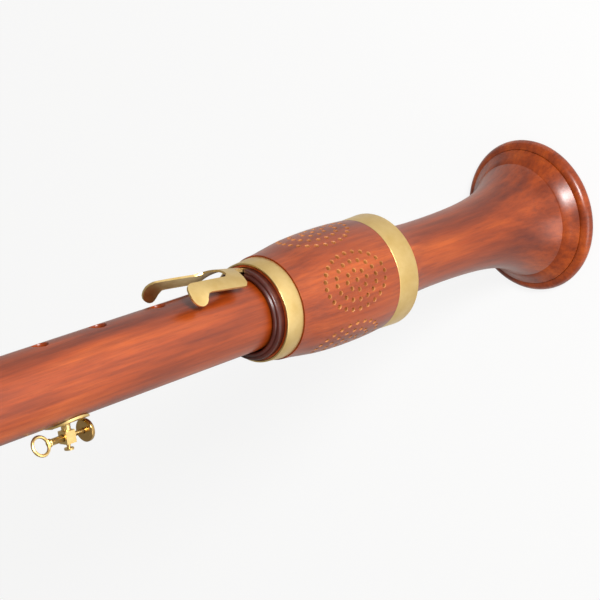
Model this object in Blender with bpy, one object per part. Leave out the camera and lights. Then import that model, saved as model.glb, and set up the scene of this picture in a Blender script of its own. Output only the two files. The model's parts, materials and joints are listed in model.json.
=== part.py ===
"""Bass recorder with a pierced key cover, a swallow-tail key and a sliding thumb rest.

Lengths are metres and +Z is up. The instrument stands on the rim of its bell. Its finger holes
and its key face -Y, the thumb hole and the thumb rest face +Y. Heights are measured from the
bell's end face, and radii from the bore's axis.
"""
import math

import bmesh
import bpy
from mathutils import Matrix, Vector

# Fits between neighbouring pieces
GAP = 0.0003
PIN_PLAY = 0.0002
SLIDE_PLAY = 0.0002

# Bell
RIM_RADIUS = 0.0488
RIM_HEIGHT = 0.0033
RIM_BEAD = 0.0051
END_FACE_OUTER = 0.0462
MOUTH_RADIUS = 0.0395
GROOVE_HEIGHT = 0.0165
GROOVE_RADIUS = 0.0362
GROOVE_DEPTH = 0.0006
NECK_RADIUS = 0.0202
FLARE_LENGTH = 0.0240
FLARE_POWER = 1.1
BELL_LENGTH = 0.1300

# Body tube
BORE_RADIUS = 0.0125
TUBE_RADIUS = 0.0212
TUBE_TAPER = 0.0040
SHOULDER_RADIUS = 0.0262
SHOULDER_HEIGHT = 0.1534
SHOULDER_FLARE = 0.0140
BODY_HEIGHT = 0.6900
TENON_LENGTH = 0.0260
TENON_RADIUS = 0.0169
CORK_LENGTH = 0.0150
CORK_DEPTH = 0.0010
CORK_PROUD = 0.0003

# Finger holes: height and radius of each, front row from the little finger's side up
FRONT_HOLES = ((0.3300, 0.0042), (0.3740, 0.0045), (0.4150, 0.0043),
               (0.4850, 0.0043), (0.5350, 0.0046), (0.5870, 0.0042))
THUMB_HOLE = (0.6120, 0.0036)
DISH_WIDTH = 0.0024
DISH_DEPTH = 0.0014

# Pierced cover over the key
COVER_LENGTH = 0.1068
COVER_WALL = 0.0026
COVER_MOUTH = 0.0268
COVER_THROAT = 0.0282
COVER_FOOT = 0.0216
COVER_OUTLINE = ((0.0123, 0.0308), (0.0200, 0.0315), (0.0300, 0.0329), (0.0420, 0.0343),
                 (0.0600, 0.0350), (0.0780, 0.0347), (0.0905, 0.0339))
UPPER_RING_WIDTH = 0.0120
UPPER_RING_RADII = (0.0291, 0.0301)
LOWER_RING_WIDTH = 0.0160
LOWER_RING_RADII = (0.0338, 0.0343)
RING_WALL = 0.0009
ROSETTES = 5
ROSETTE_DEPTH = 0.0549
ROSETTE_PHASE = math.radians(-5.1)
ROSETTE_RINGS = 3
HOLES_PER_RING = 8
HOLE_PITCH_UP = 0.0080
HOLE_PITCH_ROUND = math.radians(9.4)
HOLE_RADIUS = 0.0012
HOLE_SIDES = 5

# Turned collar above the cover
COLLAR_RADIUS = 0.02675
COLLAR_BORE = 0.0219
COLLAR_PLUG = 0.0080
COLLAR_RISE = 0.0059
KEY_SLOT = 0.0088

# Key work
BED_DEPTH = 0.0202
BED_BOTTOM = 0.1860
BED_TOP = 0.2600
BED_WIDTH = 0.0142
PIN_RADIUS = 0.0010
PIN_LENGTH = 0.0112
HINGE_RISE = 0.0250
BOSS_RADIUS = 0.0024
LEVER_WIDTH = 0.0070
SADDLE_LENGTH = 0.0110
SADDLE_WIDTH = 0.0120
SADDLE_BASE = 0.0014
EAR_WALL = 0.0012
EAR_RADIUS = 0.0020
TOUCH_HINGE = 0.2430
PAD_HINGE = 0.2180
KEY_CONTACT = 0.2315
PAD_HEIGHT = 0.1960
TOUCH_TRAVEL = math.radians(7.6)
TONE_HOLE_RADIUS = 0.0045
PAD_RADIUS = 0.0072
PAD_THICKNESS = 0.0022
CUP_RADIUS = 0.0075
CUP_THICKNESS = 0.0012
PAD_ARM_WIDTH = 0.0056
SPRING_WIDTH = 0.0040
SPRING_THICKNESS = 0.0005

# Swallow-tail touch: distances round the sheet are measured from its middle line
SHEET = 0.0013
TAIL_START = 0.2710
TAIL_SHOULDER_SLOPE = 0.335
TAIL_CREST = 0.0281
TAIL_CREST_HEIGHT = 0.2687
TAIL_SLOPE = 0.177
ARCH_FROM = (0.2780, 0.0300)
ARCH_TO = (0.3150, 0.0225)
PRONG_INNER = 0.0130
PRONG_OUTER = 0.0229
PRONG_ROOT = 0.2880
NOTCH_DEPTH = 0.0060
EAR_CENTRE = (0.0245, 0.3162)
EAR_TIP = 0.0059
EAR_ROOT = 0.3060

# Screws
SCREW_SHANK = 0.00075
SCREW_HOLE = 0.0010
SCREW_HEAD = 0.0015
SCREW_HEAD_HEIGHT = 0.0008
SCREW_DEPTH = 0.0050
SADDLE_SCREW_PITCH = 0.0042

# Thumb rest
REST_HEIGHT = 0.4065
PLATE_HALF_LENGTH = 0.0140
PLATE_HALF_WIDTH = 0.0130
PLATE_THICKNESS = 0.0012
PLATE_SCREW_PITCH = 0.0095
POST_RADIUS = 0.0026
BLOCK_SIDE = 0.0066
BLOCK_DEPTH = 0.0070
ROD_REACH = 0.0308
ROD_RADIUS = 0.0019
ROD_TOP = 0.0130
ROD_STEP = 0.0025
SHANK_RADIUS = 0.0014
STRAP_RING_RADIUS = 0.0052
STRAP_RING_WIRE = 0.00095
STRAP_RING_TURN = math.radians(22.0)
KNOB_RADIUS = 0.0065
KNOB_THICKNESS = 0.0042
KNOB_DROP = 0.0113
CLAMP_HEAD_RADIUS = 0.0027
CLAMP_HEAD_THICKNESS = 0.0011
CLAMP_SHANK = 0.0013
CLAMP_REACH = 0.0050

# Head
HEAD_RADIUS = 0.0240
HEAD_LENGTH = 0.2250
HEAD_RING_WIDTH = 0.0130
HEAD_RING_RADIUS = 0.0254
SPIGOT_RADIUS = 0.0195
SPIGOT_LENGTH = 0.0180
WINDOW_HEIGHT = 0.8500
WINDOW_LENGTH = 0.0060
WINDOW_WIDTH = 0.0150
RAMP_LENGTH = 0.0340
LIP_THICKNESS = 0.0008
WINDWAY_DEPTH = 0.0014
BLOCK_PLAY = 0.0003

# Cap
CAP_RADIUS = 0.0236
CAP_LENGTH = 0.0640
CAP_CHAMBER = 0.0165
CAP_RING_WIDTH = 0.0100
CAP_RING_RADIUS = 0.0245
CAP_NOSE = 0.0115
BUSH_RADIUS = 0.0060
BUSH_BORE = 0.0052
BUSH_FLANGE = 0.0085
BUSH_FLANGE_THICKNESS = 0.0022
BUSH_LENGTH = 0.0180

# Crook
CROOK_RADIUS = 0.0036
CROOK_BORE = 0.0029
CROOK_RISE = 0.0260
CROOK_BEND = 0.0320
CROOK_DROP = 0.0900
CROOK_SPLAY = math.radians(11.0)
CROOK_CORK = 0.0049
TIP_LENGTH = 0.0340
TIP_RADIUS = 0.0068
TIP_LAP = 0.0120
TIP_END_RADIUS = 0.0054
TIP_EDGE = 0.0010

# Number of sides of the turned pieces
SIDES = 28
SMALL_SIDES = 16
FINE_SIDES = 10

# Heights that follow from the sizes above
COVER_BOTTOM = SHOULDER_HEIGHT + GAP
COVER_TOP = COVER_BOTTOM + COVER_LENGTH
TENON_TOP = BODY_HEIGHT + TENON_LENGTH
HEAD_BOTTOM = BODY_HEIGHT + GAP
HEAD_TOP = HEAD_BOTTOM + HEAD_LENGTH
CAP_BOTTOM = HEAD_TOP - SPIGOT_LENGTH + GAP
CAP_TOP = CAP_BOTTOM + CAP_LENGTH
PAD_OPEN = math.asin((TOUCH_HINGE - KEY_CONTACT) * math.sin(TOUCH_TRAVEL)
                     / (KEY_CONTACT - PAD_HINGE))
CONTACT_LIFT = (TOUCH_HINGE - KEY_CONTACT) * math.sin(TOUCH_TRAVEL)

# The crook reaches further back than the bell's rim, so the axis stands forward of the
# middle of the footprint by half of the difference.
CROOK_REACH = (CROOK_BEND * (1 + math.cos(CROOK_SPLAY))
               + (CROOK_DROP + TIP_LENGTH - TIP_LAP - TIP_EDGE) * math.sin(CROOK_SPLAY)
               + TIP_END_RADIUS * math.cos(CROOK_SPLAY))
AXIS_Y = -(CROOK_REACH - RIM_RADIUS) / 2


def clear_scene():
    """Start from an empty scene."""
    for item in list(bpy.data.objects):
        bpy.data.objects.remove(item, do_unlink=True)


def material(name, colour, roughness, metallic=0.0):
    """A plain Principled material."""
    made = bpy.data.materials.new(name)
    made.use_nodes = True
    shader = made.node_tree.nodes["Principled BSDF"]
    shader.inputs["Base Color"].default_value = (*colour, 1.0)
    shader.inputs["Roughness"].default_value = roughness
    shader.inputs["Metallic"].default_value = metallic
    return made


def empty(name, location, parent=None, turn_x=0.0):
    """An empty that carries the pieces of one body."""
    made = bpy.data.objects.new(name, None)
    bpy.context.collection.objects.link(made)
    made.location = location
    made.rotation_euler = (turn_x, 0.0, 0.0)
    made.parent = parent
    return made


def place(bm, name, finish, parent, smooth=True):
    """Turn a bmesh into a named object with outward faces."""
    bmesh.ops.recalc_face_normals(bm, faces=bm.faces)
    mesh = bpy.data.meshes.new(name)
    bm.to_mesh(mesh)
    bm.free()
    if finish:
        mesh.materials.append(finish)
    if smooth:
        mesh.shade_smooth()
        mesh.set_sharp_from_angle(angle=math.radians(35))
    made = bpy.data.objects.new(name, mesh)
    bpy.context.collection.objects.link(made)
    made.parent = parent
    return made


def arc(centre, radius, start, end, steps):
    """Points along an arc of the (across, up) plane; the angles are in degrees."""
    points = []
    for step in range(steps + 1):
        angle = math.radians(start + (end - start) * step / steps)
        points.append((centre[0] + radius * math.cos(angle), centre[1] + radius * math.sin(angle)))
    return points


def curve_through(points, steps):
    """A smooth line through the given points, with some steps between each pair."""
    line = []
    last = len(points) - 1
    for index in range(last):
        before = Vector(points[max(index - 1, 0)])
        here = Vector(points[index])
        there = Vector(points[index + 1])
        after = Vector(points[min(index + 2, last)])
        for step in range(steps):
            t = step / steps
            spot = (2 * here + (there - before) * t
                    + (2 * before - 5 * here + 4 * there - after) * t ** 2
                    + (3 * here - before - 3 * there + after) * t ** 3) / 2
            line.append(tuple(spot))
    line.append(tuple(points[last]))
    return line


def add_turned(bm, outline, sides, matrix=None):
    """Add a closed (radius, height) outline turned round Z to a bmesh."""
    rings = []
    for radius, height in outline:
        if radius < 1e-7:
            rings.append([bm.verts.new((0.0, 0.0, height))])
            continue
        ring = []
        for side in range(sides):
            angle = 2 * math.pi * side / sides
            ring.append(bm.verts.new((radius * math.cos(angle), radius * math.sin(angle), height)))
        rings.append(ring)
    for index, ring in enumerate(rings):
        other = rings[(index + 1) % len(rings)]
        if len(ring) == 1 and len(other) == 1:
            continue
        for side in range(sides):
            after = (side + 1) % sides
            corners = [ring[side % len(ring)], ring[after % len(ring)],
                       other[after % len(other)], other[side % len(other)]]
            bm.faces.new(list(dict.fromkeys(corners)))
    if matrix:
        fresh = [vert for ring in rings for vert in ring]
        bmesh.ops.transform(bm, matrix=matrix, verts=fresh)


def turned(name, outline, finish, parent, sides=SIDES, matrix=None, smooth=True):
    """One piece made on the lathe."""
    bm = bmesh.new()
    add_turned(bm, outline, sides, matrix)
    return place(bm, name, finish, parent, smooth)


def add_extruded(bm, outline, low, high, matrix=None):
    """Add a closed (across, up) outline pulled along X from low to high to a bmesh."""
    near = [bm.verts.new((low, across, up)) for across, up in outline]
    far = [bm.verts.new((high, across, up)) for across, up in outline]
    bm.faces.new(near)
    bm.faces.new(far[::-1])
    for index in range(len(outline)):
        after = (index + 1) % len(outline)
        bm.faces.new((near[index], near[after], far[after], far[index]))
    if matrix:
        bmesh.ops.transform(bm, matrix=matrix, verts=near + far)


def extruded(name, outline, low, high, finish, parent, matrix=None):
    """One piece cut from flat stock, or a cutter of that form."""
    bm = bmesh.new()
    add_extruded(bm, outline, low, high, matrix)
    return place(bm, name, finish, parent)


def box_outline(low, high):
    """The four corners of a rectangle in the (across, up) plane."""
    return ((low[0], low[1]), (high[0], low[1]), (high[0], high[1]), (low[0], high[1]))


def rod_outline(radius, low, high):
    """The outline of a plain round bar."""
    return ((0.0, low), (radius, low), (radius, high), (0.0, high))


def facing(azimuth, height):
    """A frame whose Z axis points out from the bore's axis at one height."""
    return (Matrix.Translation((0.0, 0.0, height))
            @ Matrix.Rotation(azimuth, 4, "Z") @ Matrix.Rotation(math.pi / 2, 4, "Y"))


def along_x(across, up):
    """A frame whose Z axis lies along X, through one point of the (across, up) plane."""
    return Matrix.Translation((0.0, across, up)) @ Matrix.Rotation(math.pi / 2, 4, "Y")


def combine(target, tool, operation):
    """Join a tool to a piece or cut it away, and keep the tool as a guide only."""
    step = target.modifiers.new(operation.title(), "BOOLEAN")
    step.operation = operation
    step.solver = "EXACT"
    step.object = tool
    tool.hide_render = True
    tool.display_type = "WIRE"


def guide(target, bm, name, operation="DIFFERENCE"):
    """Use a bmesh as a cutter, or as a piece to join."""
    tool = place(bm, name, None, target.parent, smooth=False)
    combine(target, tool, operation)


FRONT = -math.pi / 2
BACK = math.pi / 2


def tube_radius(height):
    """Outer radius of the body above its neck."""
    return TUBE_RADIUS + TUBE_TAPER * max(height - COVER_TOP, 0.0)


def neck_radius(height):
    """Outer radius between the bell's groove and the shoulder under the cover."""
    bell = (GROOVE_RADIUS - NECK_RADIUS) * math.exp(
        -(max(height - GROOVE_HEIGHT, 0.0) / FLARE_LENGTH) ** FLARE_POWER)
    shoulder = (SHOULDER_RADIUS - NECK_RADIUS) * math.exp(
        -(max(SHOULDER_HEIGHT - height, 0.0) / SHOULDER_FLARE) ** FLARE_POWER)
    return NECK_RADIUS + bell + shoulder


def bell_outline():
    """The bell from its mouth over the beaded rim to the groove."""
    quirk = RIM_HEIGHT + RIM_BEAD
    slope_end = RIM_RADIUS - RIM_BEAD - 0.0003
    points = [(MOUTH_RADIUS, 0.0), (END_FACE_OUTER, 0.0)]
    points += [(RIM_RADIUS - 0.0008, RIM_HEIGHT * 0.36)]
    points += arc((RIM_RADIUS - RIM_BEAD, RIM_HEIGHT), RIM_BEAD, 0, 90, 6)
    points += [(slope_end, quirk - 0.0006), (slope_end, quirk + 0.0006)]
    points += [(GROOVE_RADIUS + 0.0031, GROOVE_HEIGHT - 0.0036)]
    points += [(GROOVE_RADIUS + 0.0004, GROOVE_HEIGHT - 0.0005)]
    points += [(GROOVE_RADIUS - GROOVE_DEPTH, GROOVE_HEIGHT)]
    return points


def body_outline():
    """The whole outline of the body: bell, neck, shoulder, tube, tenon and bore."""
    points = bell_outline()
    start = GROOVE_HEIGHT + 0.0004
    for step in range(24):
        share = step / 23
        height = start + (SHOULDER_HEIGHT - start) * (share if share > 0.7 else share ** 1.25)
        points.append((neck_radius(height), height))
    points.append((TUBE_RADIUS, SHOULDER_HEIGHT))
    for height in (COVER_TOP, (COVER_TOP + BODY_HEIGHT) / 2, BODY_HEIGHT):
        points.append((tube_radius(height), height))
    cork_low = BODY_HEIGHT + (TENON_LENGTH - CORK_LENGTH) / 2
    cork_high = cork_low + CORK_LENGTH
    points += [(TENON_RADIUS, BODY_HEIGHT), (TENON_RADIUS, cork_low)]
    points += [(TENON_RADIUS - CORK_DEPTH, cork_low), (TENON_RADIUS - CORK_DEPTH, cork_high)]
    points += [(TENON_RADIUS, cork_high), (TENON_RADIUS, TENON_TOP), (BORE_RADIUS, TENON_TOP)]
    inside = [(BORE_RADIUS, BELL_LENGTH)]
    for share in (0.78, 0.55, 0.36, 0.22, 0.11, 0.04):
        grown = (MOUTH_RADIUS - BORE_RADIUS) * math.exp(-(share * 5.2) ** 0.85)
        inside.append((BORE_RADIUS + grown, BELL_LENGTH * share))
    return points + inside


def make_body(wood, root):
    """The body joint, with its bed for the key, its tone hole and its finger holes."""
    body = turned("body_joint", body_outline(), wood, root)
    bed = bmesh.new()
    add_extruded(bed, box_outline((-2 * TUBE_RADIUS, BED_BOTTOM), (-BED_DEPTH, BED_TOP)),
                 -BED_WIDTH / 2, BED_WIDTH / 2)
    guide(body, bed, "key_bed_cut")
    holes = bmesh.new()
    rows = [(FRONT, height, radius) for height, radius in FRONT_HOLES]
    rows.append((BACK, *THUMB_HOLE))
    for azimuth, height, radius in rows:
        surface = tube_radius(height)
        outline = ((0.0, BORE_RADIUS / 2), (radius, BORE_RADIUS / 2),
                   (radius, surface - DISH_DEPTH), (radius + DISH_WIDTH, surface + GAP),
                   (radius + DISH_WIDTH, surface + DISH_WIDTH), (0.0, surface + DISH_WIDTH))
        add_turned(holes, outline, FINE_SIDES, facing(azimuth, height))
    tone = rod_outline(TONE_HOLE_RADIUS, BORE_RADIUS / 2, 2 * TUBE_RADIUS)
    add_turned(holes, tone, FINE_SIDES, facing(FRONT, PAD_HEIGHT))
    for hinge in (TOUCH_HINGE, PAD_HINGE):
        for side in (-1, 1):
            shaft = rod_outline(SCREW_HOLE, BED_DEPTH - SCREW_DEPTH, 2 * TUBE_RADIUS)
            add_turned(holes, shaft, 8, facing(FRONT, hinge + side * SADDLE_SCREW_PITCH))
    for side in (-1, 1):
        surface = tube_radius(REST_HEIGHT)
        shaft = rod_outline(SCREW_HOLE, surface - SCREW_DEPTH, 2 * TUBE_RADIUS)
        add_turned(holes, shaft, 8, facing(BACK, REST_HEIGHT + side * PLATE_SCREW_PITCH))
    guide(body, holes, "body_hole_cut")
    return body


def band_outline(low, high, radii, wall):
    """A conical metal band; the first radius is at the top, its edges slightly broken."""
    top, bottom = radii
    edge = 0.0003
    return ((top - wall, high), (bottom - wall, low), (bottom - edge, low),
            (bottom, low + edge), (top, high - edge), (top - edge, high))


def cover_radius_points():
    """The cover's outside between its two rings, from the lower ring up."""
    line = [(radius, COVER_TOP - depth) for depth, radius in COVER_OUTLINE[::-1]]
    return line


def make_cover(wood, dark_wood, brass, root):
    """The pierced cover over the key, its two rings and the collar that closes its top."""
    outside = cover_radius_points()
    upper_low = COVER_TOP - UPPER_RING_WIDTH
    lower_high = COVER_BOTTOM + LOWER_RING_WIDTH
    seat = RING_WALL + GAP
    throat_low = COVER_TOP - 0.0200
    cavity_low = COVER_BOTTOM + 0.0150
    outline = [(COVER_FOOT, COVER_BOTTOM), (LOWER_RING_RADII[1] - seat, COVER_BOTTOM),
               (LOWER_RING_RADII[0] - seat, lower_high + GAP)]
    outline += outside
    outline += [(UPPER_RING_RADII[1] - seat, upper_low - GAP),
                (UPPER_RING_RADII[0] - seat, COVER_TOP), (COVER_MOUTH, COVER_TOP),
                (COVER_MOUTH, COVER_TOP - COLLAR_PLUG), (COVER_THROAT, COVER_TOP - COLLAR_PLUG),
                (COVER_THROAT, throat_low)]
    for radius, height in outside[::-1]:
        if cavity_low < height < throat_low - 0.005:
            outline.append((radius - COVER_WALL, height))
    outline += [(outside[0][0] - COVER_WALL, cavity_low), (COVER_FOOT, COVER_BOTTOM + 0.0080)]
    cover = turned("key_cover", outline, wood, root)
    drill = bmesh.new()
    for rosette in range(ROSETTES):
        middle = FRONT + ROSETTE_PHASE + 2 * math.pi * rosette / ROSETTES
        for azimuth, height in rosette_holes(middle):
            add_turned(drill, rod_outline(HOLE_RADIUS, COVER_MOUTH, RIM_RADIUS),
                       HOLE_SIDES, facing(azimuth, height))
    guide(cover, drill, "rosette_drill")
    turned("cover_upper_ring",
           band_outline(upper_low, COVER_TOP, UPPER_RING_RADII, RING_WALL), brass, root)
    turned("cover_lower_ring",
           band_outline(COVER_BOTTOM, lower_high, LOWER_RING_RADII, RING_WALL), brass, root)
    make_collar(dark_wood, root)


def rosette_holes(middle):
    """Azimuth and height of each hole of one rosette: a middle hole and rings round it."""
    centre = COVER_TOP - ROSETTE_DEPTH
    spots = [(middle, centre)]
    for ring in range(1, ROSETTE_RINGS + 1):
        count = HOLES_PER_RING * ring
        for index in range(count):
            turn = 2 * math.pi * index / count
            spots.append((middle + ring * HOLE_PITCH_ROUND * math.cos(turn),
                          centre + ring * HOLE_PITCH_UP * math.sin(turn)))
    return spots


def make_collar(dark_wood, root):
    """The moulded collar, with the slot that the key comes out of."""
    top = COVER_TOP + COLLAR_RISE
    low = COVER_TOP - COLLAR_PLUG + GAP
    plug = COVER_MOUTH - GAP
    quarter = 0.0014
    outline = [(COLLAR_BORE, low), (plug, low), (plug, COVER_TOP + 0.0005)]
    outline += [(COLLAR_RADIUS, COVER_TOP + 0.0009)]
    outline += arc((COLLAR_RADIUS - quarter, top - 0.0010 - quarter), quarter, 0, 90, 3)
    outline += [(COLLAR_RADIUS - 0.0020, top - 0.0013)]
    outline += arc((COLLAR_BORE + 0.0014, top - 0.0012), 0.0012, 20, 160, 4)
    collar = turned("cover_collar", outline, dark_wood, root)
    slot = bmesh.new()
    add_extruded(slot, box_outline((-2 * COLLAR_RADIUS, low - GAP), (-BED_DEPTH, top + GAP)),
                 -KEY_SLOT / 2, KEY_SLOT / 2)
    guide(collar, slot, "key_slot_cut")


def make_saddle(name, hinge, brass, root):
    """A hinge bracket: a base on the key bed and two ears with the pin's holes."""
    floor = BED_DEPTH + GAP
    base_top = floor + SADDLE_BASE
    inner = LEVER_WIDTH / 2 + GAP
    outer = inner + EAR_WALL
    saddle = extruded(name, box_outline((-base_top, hinge - SADDLE_LENGTH / 2),
                                        (-floor, hinge + SADDLE_LENGTH / 2)),
                      -SADDLE_WIDTH / 2, SADDLE_WIDTH / 2, brass, root)
    root_overlap = 0.0005
    ear = [(-base_top + root_overlap, hinge - EAR_RADIUS - 0.0006),
           (-base_top + root_overlap, hinge + EAR_RADIUS + 0.0006)]
    ear += arc((-HINGE_RISE, hinge), EAR_RADIUS, 90, 270, 6)
    for side in (-1, 1):
        bm = bmesh.new()
        add_extruded(bm, ear, *sorted((side * inner, side * outer)))
        guide(saddle, bm, name + ("_ear_left" if side < 0 else "_ear_right"), "UNION")
    holes = bmesh.new()
    bar = rod_outline(PIN_RADIUS + PIN_PLAY, -SADDLE_WIDTH, SADDLE_WIDTH)
    add_turned(holes, bar, FINE_SIDES, along_x(-HINGE_RISE, hinge))
    for side in (-1, 1):
        shaft = rod_outline(SCREW_HOLE, TUBE_RADIUS / 2, HINGE_RISE - BOSS_RADIUS)
        add_turned(holes, shaft, 8, facing(FRONT, hinge + side * SADDLE_SCREW_PITCH))
    guide(saddle, holes, name + "_holes")


def screw_outline(seat, depth):
    """A round-headed screw whose head sits at one distance from the axis."""
    top = seat + SCREW_HEAD_HEIGHT
    return ((0.0, seat - depth), (SCREW_SHANK, seat - depth), (SCREW_SHANK, seat),
            (SCREW_HEAD, seat), (SCREW_HEAD, seat + SCREW_HEAD_HEIGHT / 2),
            (SCREW_HEAD * 0.6, top), (0.0, top))


def make_key_fixings(brass, steel, root):
    """The hinge brackets with their pins and wood screws."""
    for word, hinge in (("touch", TOUCH_HINGE), ("pad", PAD_HINGE)):
        make_saddle(word + "_saddle", hinge, brass, root)
        turned(word + "_hinge_pin", rod_outline(PIN_RADIUS, -PIN_LENGTH / 2, PIN_LENGTH / 2),
               steel, root, FINE_SIDES, along_x(-HINGE_RISE, hinge))
        for side, place_word in ((-1, "lower"), (1, "upper")):
            seat = BED_DEPTH + GAP + SADDLE_BASE + GAP / 3
            turned(word + "_saddle_screw_" + place_word,
                   screw_outline(seat, SCREW_DEPTH - GAP), steel, root, 10,
                   facing(FRONT, hinge + side * SADDLE_SCREW_PITCH))


def arch(height):
    """Radius of the touch's arched sheet, and how far its crest stands from the axis."""
    low, high = ARCH_FROM, ARCH_TO
    share = min(max((height - low[0]) / (high[0] - low[0]), 0.0), 1.0)
    radius = low[1] + (high[1] - low[1]) * share
    crest = TAIL_CREST + TAIL_SLOPE * (height - TAIL_CREST_HEIGHT)
    return radius, crest


def on_sheet(round_distance, height):
    """A point of the touch's outer surface, measured from the touch hinge."""
    radius, crest = arch(height)
    angle = round_distance / radius
    across = crest - radius + radius * math.cos(angle)
    return (radius * math.sin(angle), HINGE_RISE - across, height - TOUCH_HINGE)


def prong_outer(height):
    """Outer edge of a prong, which swells into a rounded ear at its free end."""
    centre, middle = EAR_CENTRE
    offset = abs(height - middle)
    if height > EAR_ROOT and offset < EAR_TIP:
        return centre + math.sqrt(EAR_TIP ** 2 - offset ** 2)
    share = min(max((height - EAR_ROOT) / (middle - EAR_TIP - EAR_ROOT), 0.0), 1.0)
    return PRONG_OUTER + (centre - PRONG_OUTER) * share ** 2


def prong_inner(height):
    """Inner edge of a prong, rounded off at its free end."""
    round_from = EAR_CENTRE[1] - 0.0022
    spread = PRONG_INNER + 0.08 * max(height - PRONG_ROOT, 0.0)
    if height <= round_from:
        return spread
    corner = 0.0080
    spread = PRONG_INNER + 0.08 * (round_from - PRONG_ROOT)
    return spread + corner - math.sqrt(max(corner ** 2 - (height - round_from) ** 2, 0.0))


def tail_start(round_distance):
    """Height of the touch's edge towards the bell, with rounded outer corners."""
    rounding = max(round_distance - 0.0200, 0.0) ** 2 * 200
    return TAIL_START + TAIL_SHOULDER_SLOPE * round_distance + rounding


def notch_edge(round_distance):
    """Height of the notch's rounded bottom."""
    share = min(round_distance / PRONG_INNER, 1.0)
    return PRONG_ROOT - NOTCH_DEPTH * math.sqrt(1 - share ** 2)


def make_tail_sheet(brass, hinge):
    """The swallow-tail: half of the arched sheet as a grid, mirrored and thickened."""
    bm = bmesh.new()
    bridge = [PRONG_INNER * step / 4 for step in range(5)]
    prong = [step / 4 for step in range(5)]
    ear_top = EAR_CENTRE[1] + EAR_TIP
    heights = [PRONG_ROOT, 0.2960, 0.3030, EAR_ROOT]
    heights += [EAR_ROOT + 0.0022, EAR_CENTRE[1] - EAR_TIP + 0.0002]
    for share in (0.88, 0.6, 0.3, 0.0, -0.3, -0.6, -0.85, -0.98):
        heights.append(EAR_CENTRE[1] - EAR_TIP * share)
    inner_rows = []
    for share in (0.0, 0.5, 1.0):
        row = []
        for distance in bridge:
            low, high = tail_start(distance), notch_edge(distance)
            row.append(bm.verts.new(on_sheet(distance, low + (high - low) * share)))
        inner_rows.append(row)
    outer_rows = []
    for share in (0.0, 0.5):
        row = [inner_rows[len(outer_rows)][-1]]
        for part in prong[1:]:
            distance = PRONG_INNER + (PRONG_OUTER - PRONG_INNER) * part
            low = tail_start(distance)
            row.append(bm.verts.new(on_sheet(distance, low + (PRONG_ROOT - low) * share)))
        outer_rows.append(row)
    for height in heights:
        inner, outer = prong_inner(height), prong_outer(min(height, ear_top))
        row = []
        for part in prong:
            if height == PRONG_ROOT and part == 0:
                row.append(inner_rows[-1][-1])
            else:
                row.append(bm.verts.new(on_sheet(inner + (outer - inner) * part, height)))
        outer_rows.append(row)
    for rows in (inner_rows, outer_rows):
        for low, high in zip(rows, rows[1:]):
            for index in range(len(low) - 1):
                bm.faces.new((low[index], low[index + 1], high[index + 1], high[index]))
    sheet = place_sheet(bm, "touch_lever", brass, hinge)
    return sheet


def place_sheet(bm, name, finish, parent):
    """Object from an open half sheet: mirrored over X, then thickened inwards."""
    mesh = bpy.data.meshes.new(name)
    bm.to_mesh(mesh)
    bm.free()
    mesh.materials.append(finish)
    mesh.shade_smooth()
    made = bpy.data.objects.new(name, mesh)
    bpy.context.collection.objects.link(made)
    made.parent = parent
    mirror = made.modifiers.new("Mirror", "MIRROR")
    mirror.merge_threshold = 0.0001
    thicken = made.modifiers.new("Thickness", "SOLIDIFY")
    thicken.thickness = SHEET
    thicken.offset = -1.0
    thicken.use_even_offset = True
    return made


def lever_side(points_top, points_bottom, hinge):
    """Side view of a lever: its top and bottom lines joined by the hinge boss."""
    offset = [(HINGE_RISE - across, up - hinge) for across, up in points_top]
    under = [(HINGE_RISE - across, up - hinge) for across, up in points_bottom]
    return offset, under


def make_touch(brass, steel, hinge):
    """The touch: swallow-tail sheet, stem through the collar's slot and inner arm."""
    touch = make_tail_sheet(brass, hinge)
    join = 0.2770
    crest = arch(join)[1] - SHEET / 2
    top = [(0.0257, KEY_CONTACT), (0.0256, KEY_CONTACT + 0.0020), (0.0256, 0.2395)]
    top_after = [(0.0259, 0.2465), (0.02595, 0.2570), (0.0262, COVER_TOP), (0.0271, 0.2640),
                 (0.0279, 0.2687), (crest, join)]
    bottom_after = [(crest - 0.0012, join), (0.0259, 0.2687), (0.0249, 0.2640),
                    (0.0241, COVER_TOP), (0.0238, 0.2570), (0.0237, 0.2465)]
    bottom = [(0.0239, 0.2395), (0.0239, KEY_CONTACT + 0.0020)]
    top, bottom = lever_side(top, bottom, TOUCH_HINGE)
    top_after, bottom_after = lever_side(top_after, bottom_after, TOUCH_HINGE)
    outline = top + arc((0.0, 0.0), BOSS_RADIUS, 205, 155, 4) + top_after
    outline += bottom_after + arc((0.0, 0.0), BOSS_RADIUS, 25, -25, 4) + bottom
    nose = (HINGE_RISE - 0.0248, KEY_CONTACT - TOUCH_HINGE)
    outline += arc(nose, 0.0009, -20, -160, 4)
    stem = bmesh.new()
    add_extruded(stem, outline, -LEVER_WIDTH / 2, LEVER_WIDTH / 2)
    guide(touch, stem, "touch_stem_join", "UNION")
    hole = bmesh.new()
    bar = rod_outline(PIN_RADIUS + PIN_PLAY, -LEVER_WIDTH, LEVER_WIDTH)
    add_turned(hole, bar, FINE_SIDES, along_x(0.0, 0.0))
    guide(touch, hole, "touch_pin_hole")
    rivet = (0.0237 - GAP, 0.2478)
    free = (BED_DEPTH + GAP + SPRING_THICKNESS, 0.2590)
    make_spring("touch_spring", rivet, free, TOUCH_HINGE, steel, hinge)


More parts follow.
